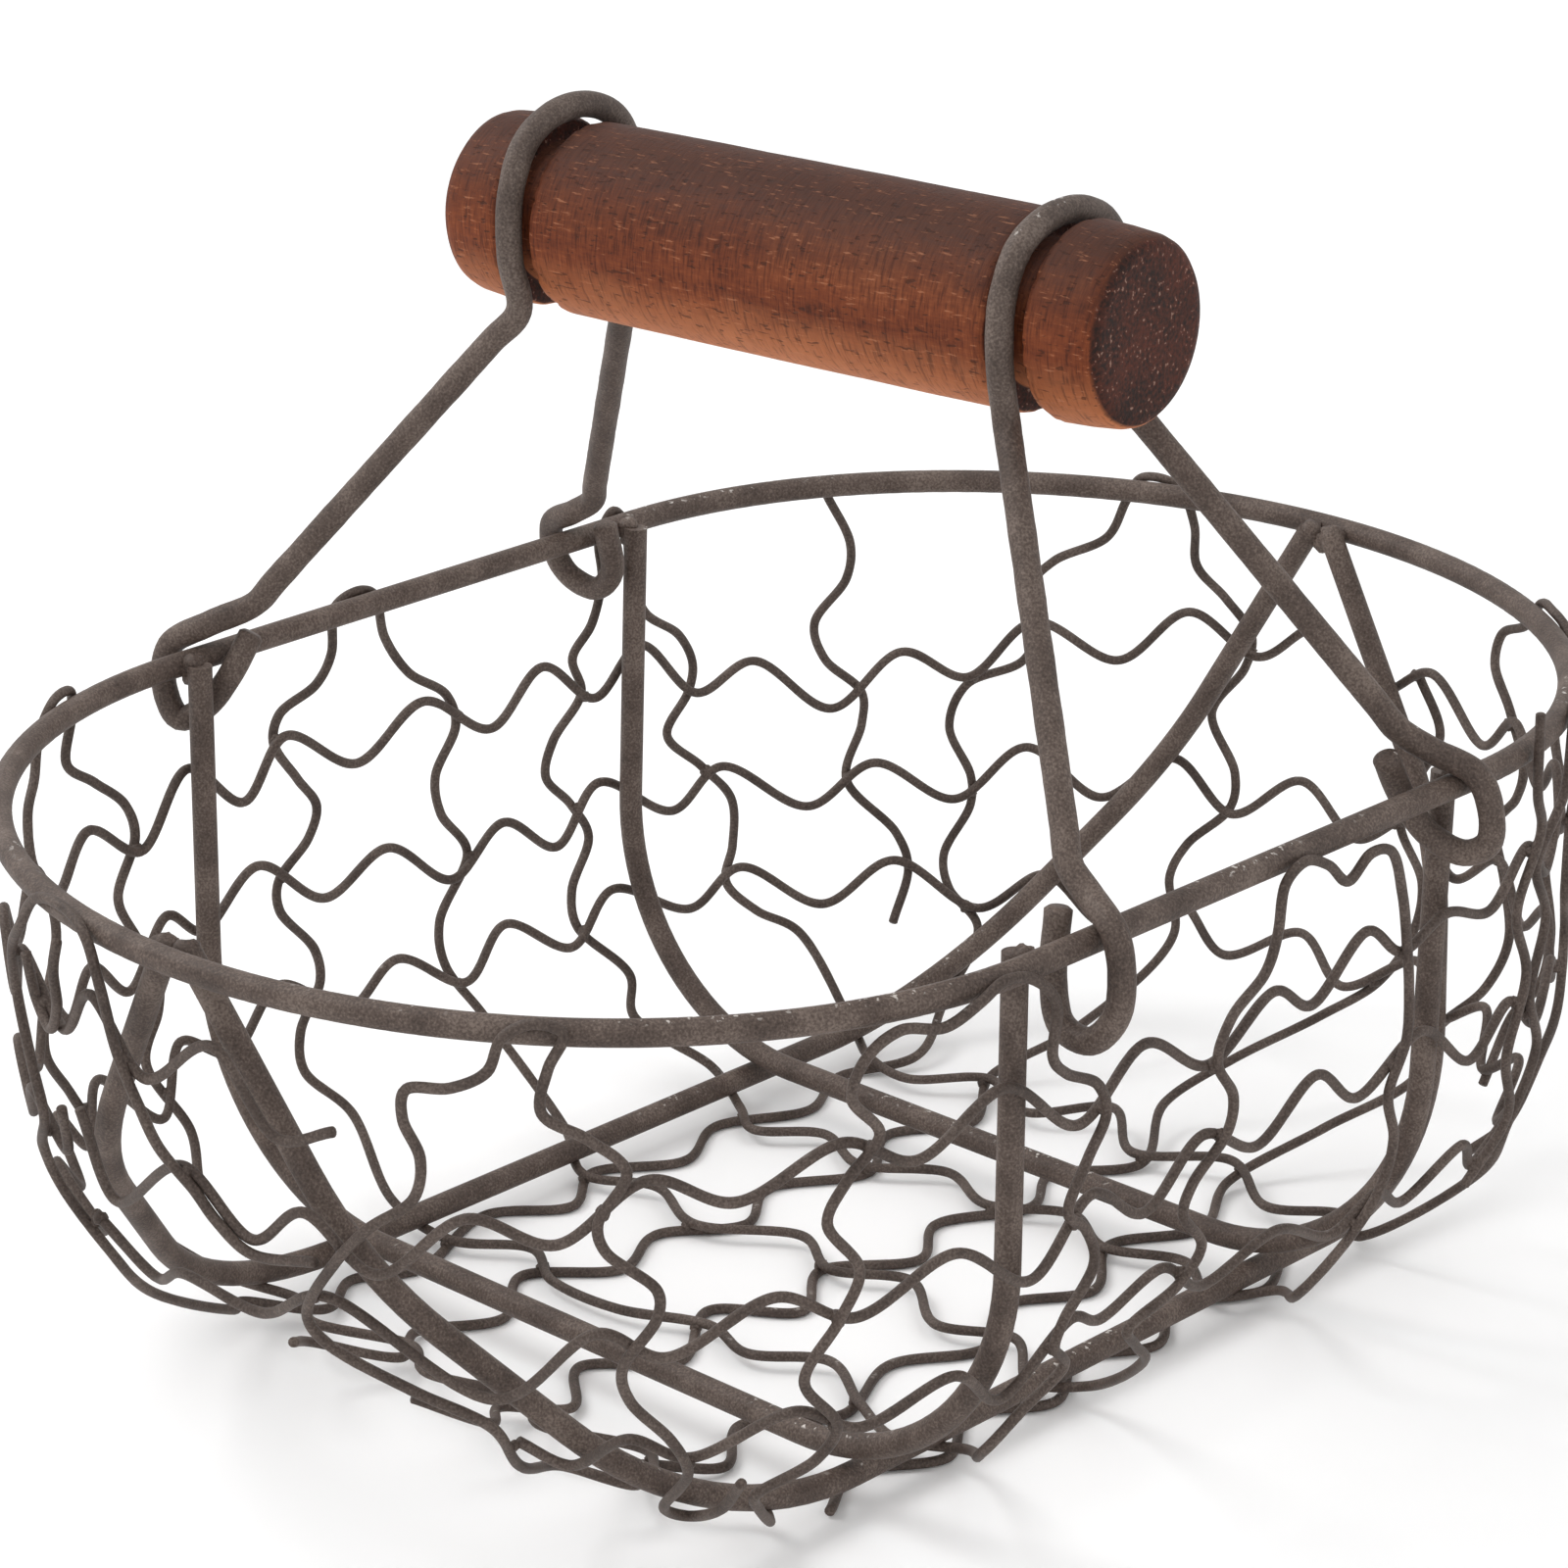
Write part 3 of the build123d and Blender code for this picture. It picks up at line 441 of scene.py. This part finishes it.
def wood_material(name, turn, centre_z):
    """Stained turned wood: long grain, lathe scratches round it, and dark end grain."""
    material, tree, shader = new_material(name)
    mapping = add(tree, "ShaderNodeMapping", vector_type="TEXTURE")
    mapping.inputs["Location"].default_value = (0, 0, centre_z)
    mapping.inputs["Rotation"].default_value = (0, 0, turn)
    tree.links.new(place_of(tree), mapping.inputs["Vector"])
    place = mapping.outputs["Vector"]

    def stretched(x, y, z):
        node = add(tree, "ShaderNodeMapping", vector_type="POINT")
        node.inputs["Scale"].default_value = (x, y, z)
        tree.links.new(place, node.inputs["Vector"])
        return node.outputs["Vector"]

    streaks = noise_at(tree, stretched(22, 190, 190), 1.0, 4.0, 0.6)
    fibres = noise_at(tree, stretched(330, 1900, 1900), 1.0, 3.0, 0.6)
    lathe = noise_at(tree, stretched(2300, 260, 260), 1.0, 3.0, 0.6)
    blotches = noise_at(tree, stretched(60, 70, 70), 1.0, 5.0, 0.65)
    pores = noise_at(tree, stretched(520, 1700, 1700), 1.0, 1.0, 0.4)
    tone = math_node(tree, "MULTIPLY", streaks, 0.22)
    tone = math_node(tree, "MULTIPLY_ADD", blotches, 0.28, tone)
    tone = math_node(tree, "MULTIPLY_ADD", fibres, 0.20, tone)
    tone = math_node(tree, "MULTIPLY_ADD", lathe, 0.30, tone)
    colour = ramp(
        tree, tone,
        (0.38, (0.058, 0.013, 0.005)), (0.46, (0.125, 0.028, 0.010)), (0.54, (0.185, 0.045, 0.015)),
        (0.64, (0.300, 0.085, 0.030)),
    )
    axes = add(tree, "ShaderNodeSeparateXYZ")
    tree.links.new(place, axes.inputs[0])
    height = math_node(tree, "MULTIPLY_ADD", axes.outputs["Z"], 1 / ROLLER_THICKNESS_M, 0.5)
    height = math_node(tree, "MULTIPLY_ADD", blotches, 0.36, math_node(tree, "SUBTRACT", height, 0.18))
    # Painted shade: the wood is made darker towards the top of the roller.
    painted_top_shade = ramp(tree, height, (0.50, 0.0), (0.92, 1.0))
    colour = mix(tree, math_node(tree, "MULTIPLY", painted_top_shade, 0.80), colour, (0.040, 0.017, 0.011))
    # Painted light: the wood is made paler and redder towards the underside of the roller.
    painted_underside_light = ramp(tree, height, (0.04, 1.0), (0.40, 0.0))
    colour = mix(tree, math_node(tree, "MULTIPLY", painted_underside_light, 0.72), colour, (0.66, 0.235, 0.095))
    scratch = ramp(tree, lathe, (0.36, 1.0), (0.46, 0.0))
    colour = mix(tree, math_node(tree, "MULTIPLY", scratch, 0.40), colour, (0.045, 0.012, 0.006))
    glints = ramp(tree, fibres, (0.62, 0.0), (0.70, 1.0))
    colour = mix(tree, math_node(tree, "MULTIPLY", glints, 0.35), colour, (0.50, 0.22, 0.12))
    pits = ramp(tree, pores, (0.29, 1.0), (0.34, 0.0))
    colour = mix(tree, math_node(tree, "MULTIPLY", pits, 0.6), colour, (0.030, 0.010, 0.005))
    normal = add(tree, "ShaderNodeSeparateXYZ")
    turned = add(tree, "ShaderNodeVectorRotate", rotation_type="Z_AXIS")
    turned.inputs["Angle"].default_value = -turn
    tree.links.new(add(tree, "ShaderNodeTexCoord").outputs["Normal"], turned.inputs["Vector"])
    tree.links.new(turned.outputs["Vector"], normal.inputs[0])
    facing = math_node(tree, "ABSOLUTE", normal.outputs["X"])
    end = ramp(tree, facing, (0.55, 0.0), (0.8, 1.0))
    speckle = noise_at(tree, place, 1500.0, 2.0)
    end_tone = math_node(tree, "MULTIPLY_ADD", blotches, 0.5, math_node(tree, "MULTIPLY", speckle, 0.5))
    end_colour = ramp(
        tree, end_tone, (0.40, (0.018, 0.008, 0.006)), (0.50, (0.052, 0.015, 0.009)),
        (0.62, (0.090, 0.022, 0.012)),
    )
    dust = ramp(tree, speckle, (0.66, 0.0), (0.70, 1.0))
    end_colour = mix(tree, math_node(tree, "MULTIPLY", dust, 0.5), end_colour, (0.40, 0.26, 0.20))
    colour = mix(tree, end, colour, end_colour)
    shader.inputs["Specular IOR Level"].default_value = 0.18
    tree.links.new(colour, shader.inputs["Base Color"])
    tree.links.new(math_node(tree, "MULTIPLY_ADD", fibres, 0.25, 0.52), shader.inputs["Roughness"])
    relief = math_node(tree, "MULTIPLY_ADD", lathe, 0.5, math_node(tree, "MULTIPLY", fibres, 0.5))
    relief = math_node(tree, "SUBTRACT", relief, math_node(tree, "MULTIPLY", pits, 0.6))
    bump(tree, shader, relief, 0.7, 0.0002)
    return material


frame_coat = wire_material(
    "frame_coat", (0.044, 0.030, 0.024), (0.092, 0.066, 0.054), (0.175, 0.135, 0.113), 1.0
)
mesh_coat = wire_material(
    "mesh_coat", (0.038, 0.026, 0.021), (0.076, 0.055, 0.045), (0.140, 0.108, 0.092), 0.35
)


# ---------------------------------------------------------------- mesh wires
MESH_STEP = 0.7
MESH_SIDES = 12
mesh_lines = {}


def mesh_wire(name, points, replaced, seed):
    line = flow(points, MESH_STEP)
    mesh_lines[name] = line
    wire = tube(line, COATED_RADIUS, MESH_SIDES, seed)
    return make_piece(name, *wire, [mesh_coat], "basket", "mesh_wire", replaced)


for index, stations in enumerate(ROWS):
    mesh_wire(
        f"row_wire_{index + 1}", row_points(stations), nodes_like(f"row_{index + 1}_wire"), index
    )


def hairpin(number, backwards=False):
    points = upright_points(HAIRPINS[number - 1])
    return points[::-1] if backwards else points


def short_wire(number):
    return upright_points(SHORT_WIRES[number - 1])


def under_cross(number, backwards=False):
    points = floor_points(FLOOR_CROSS_WIRES[number - 1], 0.0)
    return points[::-1] if backwards else points


def under_long(number, backwards=False):
    points = floor_points(FLOOR_LONG_WIRES[number - 1], LONG_LAYER)
    return points[::-1] if backwards else points


# The uprights and the wires under the bottom are the same wires, bent to and fro.
mesh_wire(
    "serpentine_wire_1",
    hairpin(10, True) + under_cross(5) + hairpin(7, True) + under_cross(1, True) + hairpin(1)
    + under_cross(2) + hairpin(6, True) + under_cross(3, True) + hairpin(2) + under_cross(4)
    + hairpin(5, True),
    ["hairpin_wire_10", "floor_cross_wire_5", "hairpin_wire_07", "floor_cross_wire_1",
     "hairpin_wire_01", "floor_cross_wire_2", "hairpin_wire_06", "floor_cross_wire_3",
     "hairpin_wire_02", "floor_cross_wire_4", "hairpin_wire_05"],
    11,
)
mesh_wire(
    "serpentine_wire_2",
    hairpin(9) + under_long(1) + hairpin(3) + under_long(2, True),
    ["hairpin_wire_09", "floor_long_wire_1", "hairpin_wire_03", "floor_long_wire_2"],
    12,
)
mesh_wire(
    "serpentine_wire_3",
    hairpin(8) + under_long(4) + hairpin(4),
    ["hairpin_wire_08", "floor_long_wire_4", "hairpin_wire_04"],
    13,
)
mesh_wire(
    "upright_wire_1", short_wire(2) + under_long(3, True), ["short_wire_2", "floor_long_wire_3"], 14
)
mesh_wire("upright_wire_2", short_wire(1), ["short_wire_1"], 15)
mesh_wire("upright_wire_3", short_wire(3), ["short_wire_3"], 16)
mesh_wire("hooked_end_wire", short_wire(4), ["short_wire_4"], 17)
mesh_wire("floor_wire_5", under_long(5), ["floor_long_wire_5"], 18)

# ---------------------------------------------------------------- bails
spin = next(joint for joint in frame["joints"] if joint["name"] == "roller_spin")
HANDLE_TURN = acos(spin["axis"][0])
ROLLER_Z = spin["pos_m"][2] / MM
BAIL_RADIUS = 2.08
BAIL_STEP = 0.9
BAIL_SIDES = 24

# Hooks, from the foot of the leg over the rim and under it to the cut end: (x, y, above rim).
HOOKS = {
    ("left", "front"): (
        (-84.5, -40.5, 9.2), (-90, -45.5, 5.8), (-96.2, -48.9, 1.4), (-96.7, -50, -5),
        (-93.5, -49.7, -10.2), (-90.2, -47, -8.2), (-87, -44.5, -3), (-85.2, -41, 3.8),
    ),
    ("left", "rear"): (
        (-84.5, 35.7, 9), (-89, 35.6, 6), (-95.6, 36.8, 2.2), (-96.7, 38.3, -3.3),
        (-95, 40.3, -8), (-90, 41.7, -9.6), (-86, 41.7, -5.6), (-85.3, 39.5, 3.2),
    ),
    ("right", "front"): (
        (84, -35.8, 8.6), (88.5, -36.6, 5.4), (95, -38.6, 2), (96.7, -38.9, -4.6),
        (96.4, -39.8, -10.2), (93, -41, -14.2), (87.5, -40.9, -13.4), (85.5, -40.6, -6.9),
        (85.2, -39.4, 3.2),
    ),
    ("right", "rear"): (
        (83.5, 41, 8.4), (88, 43.5, 5.5), (94.6, 46.3, 2.5), (96.7, 47.6, -3.5),
        (96.5, 47.5, -8.5), (93, 46.3, -10.6), (88.5, 43.4, -8), (85.6, 40.6, -2.5),
        (85.2, 36, 5.5),
    ),
}
# The loop over the roller: (across the roller, above its axis).
LOOP = ((-12.9, -13), (-14.7, -4), (-14.3, 6), (-10.6, 13.5), (-4, 16.85))
LOOP_TOP = LOOP[-1][1]
LOOP_HALF_WIDTH = 14
RIGHT_LOOP_LOWER = 1.6      # the right loop sits lower on the wood
# How far along each leg its points are.
FRONT_LEG_SHARES = (0.1, 0.35, 0.65, 0.92)
REAR_LEG_SHARES = (0.08, 0.35, 0.65, 0.9)


def handle_point(along, across, up):
    x = along * cos(HANDLE_TURN) - across * sin(HANDLE_TURN)
    y = along * sin(HANDLE_TURN) + across * cos(HANDLE_TURN)
    return Vector((x, y, ROLLER_Z + up))


def bail(side_name, groove_x, leans):
    """One wire: a hook, a leg, the loop over the roller, the other leg and the other hook."""
    lower = RIGHT_LOOP_LOWER if side_name == "right" else 0.0
    loop = [(across, up - lower * max(up, 0) / LOOP_TOP) for across, up in LOOP]
    loop += [(-across, up) for across, up in reversed(loop)]
    middle = [
        handle_point(groove_x + leans * across / LOOP_HALF_WIDTH, across, up) for across, up in loop
    ]
    front, rear = (
        [Vector((x, y, RIM_Z + up)) for x, y, up in HOOKS[side_name, end]]
        for end in ("front", "rear")
    )
    front_leg = [middle[0].lerp(front[0], share) for share in FRONT_LEG_SHARES]
    rear_leg = [rear[0].lerp(middle[-1], share) for share in REAR_LEG_SHARES]
    points = front[::-1] + front_leg[::-1] + middle + rear_leg[::-1] + rear
    wire = tube(flow(points, BAIL_STEP), BAIL_RADIUS, BAIL_SIDES, 30 + groove_x)
    body = f"{side_name}_bail"
    return make_piece(f"{side_name}_bail_wire", *wire, [frame_coat], body, "bail_wire", [body])


bail("left", -47.4, 0.3)
bail("right", 46.7, 0.2)

# ---------------------------------------------------------------- rim and ribs
FRAME_NODES = ("rim", "front_cross_rib", "rear_cross_rib", "left_long_rib", "right_long_rib")

for node in FRAME_NODES:
    for slot_place in frame["nodes"][node].material_slots:
        slot_place.material = frame_coat

# ---------------------------------------------------------------- roller
# Half the outline of the turned wood: (from the middle, radius).
ROLLER_OUTLINE = (
    (0.0, 15.3), (20.0, 15.3), (36.0, 15.25), (42.6, 15.2), (43.4, 15.0), (43.8, 14.5),
    (43.8, 11.6), (44.1, 11.2), (49.9, 11.2), (50.2, 11.6), (50.2, 14.4), (50.6, 14.9),
    (51.4, 15.1), (56.0, 14.9), (60.2, 14.5), (61.5, 14.1), (62.3, 13.3), (62.5, 12.2),
    (62.5, 6.0), (62.5, 0.6),
)
ROLLER_SIDES = 128
ROLLER_STEP = 1.2
GROOVE_EDGES = (43.4, 50.8)  # from the middle of the roller
GROOVE_BED = 12              # the wood is smooth below this radius
CHIP_REACH = 1.4
CHIP_DEPTH = 0.8


def roller():
    """A lathe shape whose groove edges are chipped and whose surface is a little uneven."""
    outline = [(-x, r) for x, r in reversed(ROLLER_OUTLINE[1:])] + list(ROLLER_OUTLINE)
    profile = []
    for (x0, r0), (x1, r1) in zip(outline, outline[1:]):
        count = max(1, round(hypot(x1 - x0, r1 - r0) / ROLLER_STEP))
        profile += [(x0 + (x1 - x0) * i / count, r0 + (r1 - r0) * i / count) for i in range(count)]
    profile.append(outline[-1])
    points = []
    for x, r in profile:
        edge = max(0.0, 1 - min(abs(abs(x) - groove) for groove in GROOVE_EDGES) / CHIP_REACH)
        for k in range(ROLLER_SIDES):
            turn = 2 * pi * k / ROLLER_SIDES
            place = Vector((x, r * cos(turn), r * sin(turn)))
            uneven = 0.06 * noise.noise(place * 0.09) + 0.02 * noise.noise(place * 0.9)
            chip = edge * max(0.0, noise.noise(place * 0.55 + Vector((7, 0, 0)))) * CHIP_DEPTH
            radius = r + (uneven - chip if r > GROOVE_BED else 0.0)
            points.append(handle_point(x, radius * cos(turn), radius * sin(turn)))
    faces = []
    for i in range(len(profile) - 1):
        a, b = i * ROLLER_SIDES, (i + 1) * ROLLER_SIDES
        for k in range(ROLLER_SIDES):
            n = (k + 1) % ROLLER_SIDES
            faces.append((a + k, b + k, b + n, a + n))
    faces.append(tuple(range(ROLLER_SIDES)))
    faces.append(tuple(range((len(profile) - 1) * ROLLER_SIDES, len(profile) * ROLLER_SIDES))[::-1])
    wood = wood_material("stained_wood", HANDLE_TURN, ROLLER_Z * MM)
    return make_piece(
        "turned_roller", points, faces, [wood], "roller", "wood", ["handle_roller"]
    )


roller()


# ---------------------------------------------------------------- welds
BLOB_ROWS = 7
BLOB_SIDES = 10
LUMPINESS = 0.35
WELD_REACH = 2.1            # between the centre lines of two mesh wires


def blob(centre, radius, flat, seed):
    """A rough little lump of weld metal: points and faces."""
    points, faces = [], []
    rows, sides = BLOB_ROWS, BLOB_SIDES
    for i in range(rows + 1):
        polar = pi * i / rows
        for k in range(sides):
            turn = 2 * pi * k / sides
            way = Vector((sin(polar) * cos(turn), sin(polar) * sin(turn), cos(polar)))
            size = radius * (1 + LUMPINESS * noise.noise(way * 1.7 + Vector((seed, 0, 0))))
            points.append(centre + Vector((way.x * size, way.y * size, way.z * size * flat)))
    for i in range(rows):
        for k in range(sides):
            n = (k + 1) % sides
            a, b = i * sides, (i + 1) * sides
            faces.append((a + k, b + k, b + n, a + n))
    return points, faces


def joined(parts):
    points, faces = [], []
    for part_points, part_faces in parts:
        start = len(points)
        points += part_points
        faces += [tuple(start + v for v in face) for face in part_faces]
    return points, faces


def mesh_weld_spots():
    """Where two different mesh wires run closest, once for each time they come into reach."""
    names = sorted(mesh_lines)
    spots = []
    for index, name in enumerate(names):
        line = mesh_lines[name]
        tree = kdtree.KDTree(len(line))
        for i, point in enumerate(line):
            tree.insert(point, i)
        tree.balance()
        for other in names[index + 1:]:
            run = []
            for point in mesh_lines[other] + [None]:
                found = tree.find(point) if point else None
                if found and found[2] < WELD_REACH:
                    run.append((found[2], (point + found[0]) / 2))
                elif run:
                    spots.append(min(run, key=lambda spot: spot[0])[1])
                    run = []
    return spots


def make_mesh_welds():
    rng = random.Random(5)
    nuggets = []
    for i, spot in enumerate(mesh_weld_spots()):
        nuggets.append(blob(spot, rng.uniform(0.85, 1.2), 1.0, i))
    make_piece("mesh_welds", *joined(nuggets), [mesh_coat], "basket", "mesh_wire", [])


# Where the two long ribs meet at an end of the rim: (across, in from the end, below, size).
LONG_RIB_WELDS = ((-2.3, 3.8, 0.4, 2.3), (2.3, 3.8, 0.2, 2.3), (0.0, 2.6, 1.6, 2.5))
# Where the cross ribs meet the straight sides of the rim.
CROSS_RIB_WELD_X = 88.6
CROSS_RIB_WELD_Y = (-50.5, 48.5)


def make_frame_welds():
    rim_tip = RIM_STRAIGHT + RIM_END_DEPTH
    lumps = []
    for end in (-1, 1):
        for x, inward, drop, size in LONG_RIB_WELDS:
            place = Vector((x, end * (rim_tip - inward), RIM_Z - drop))
            lumps.append(blob(place, size, 0.9, 50 + 3 * x + end))
    for x in (-CROSS_RIB_WELD_X, CROSS_RIB_WELD_X):
        for y in CROSS_RIB_WELD_Y:
            for up in (-1.6, 0.4):
                lumps.append(blob(Vector((x, y, RIM_Z + up)), 1.9, 0.9, 70 + y + up))
    make_piece("frame_welds", *joined(lumps), [frame_coat], "basket", "wire", [])


make_mesh_welds()
make_frame_welds()


# ---------------------------------------------------------------- floor, light and camera
def make_floor():
    bpy.ops.mesh.primitive_plane_add(size=6.0, location=(0, 0, 0))
    floor = bpy.context.object
    floor.name = "floor"
    material, tree, shader = new_material("pale_floor")
    shader.inputs["Base Color"].default_value = (0.97, 0.97, 0.97, 1)
    shader.inputs["Roughness"].default_value = 0.9
    floor.data.materials.append(material)


def area_light(name, place, target, size, power):
    data = bpy.data.lights.new(name, "AREA")
    data.shape = "DISK"
    data.size = size
    data.energy = power
    light = bpy.data.objects.new(name, data)
    bpy.context.scene.collection.objects.link(light)
    light.location = place
    light.rotation_euler = (Vector(target) - Vector(place)).to_track_quat("-Z", "Y").to_euler()


def make_world():
    world = bpy.data.worlds.new("studio")
    bpy.context.scene.world = world
    world.use_nodes = True
    background = world.node_tree.nodes["Background"]
    background.inputs["Color"].default_value = (1.0, 1.0, 1.0, 1)
    background.inputs["Strength"].default_value = 1.0


CAMERA_AZIMUTH = radians(43.49)
CAMERA_ELEVATION = radians(20.75)
CAMERA_DISTANCE = 0.8015
CAMERA_LENS = 121.5
SENSOR_WIDTH = 36.0
CAMERA_TARGET = Vector((0.017, -0.0237, RIM_Z * MM))


def make_camera():
    away = Vector((
        sin(CAMERA_AZIMUTH) * cos(CAMERA_ELEVATION),
        -cos(CAMERA_AZIMUTH) * cos(CAMERA_ELEVATION),
        sin(CAMERA_ELEVATION),
    ))
    data = bpy.data.cameras.new("camera")
    data.lens = CAMERA_LENS
    data.sensor_width = SENSOR_WIDTH
    data.clip_start = 0.01
    camera = bpy.data.objects.new("camera", data)
    bpy.context.scene.collection.objects.link(camera)
    camera.location = CAMERA_TARGET + away * CAMERA_DISTANCE
    camera.rotation_euler = (-away).to_track_quat("-Z", "Y").to_euler()
    bpy.context.scene.camera = camera


make_floor()
make_world()
area_light("key", (-0.7, -0.3, 0.9), (0, 0, 0.1), 0.6, 4.5)
make_camera()
bpy.context.scene.view_settings.view_transform = "Standard"
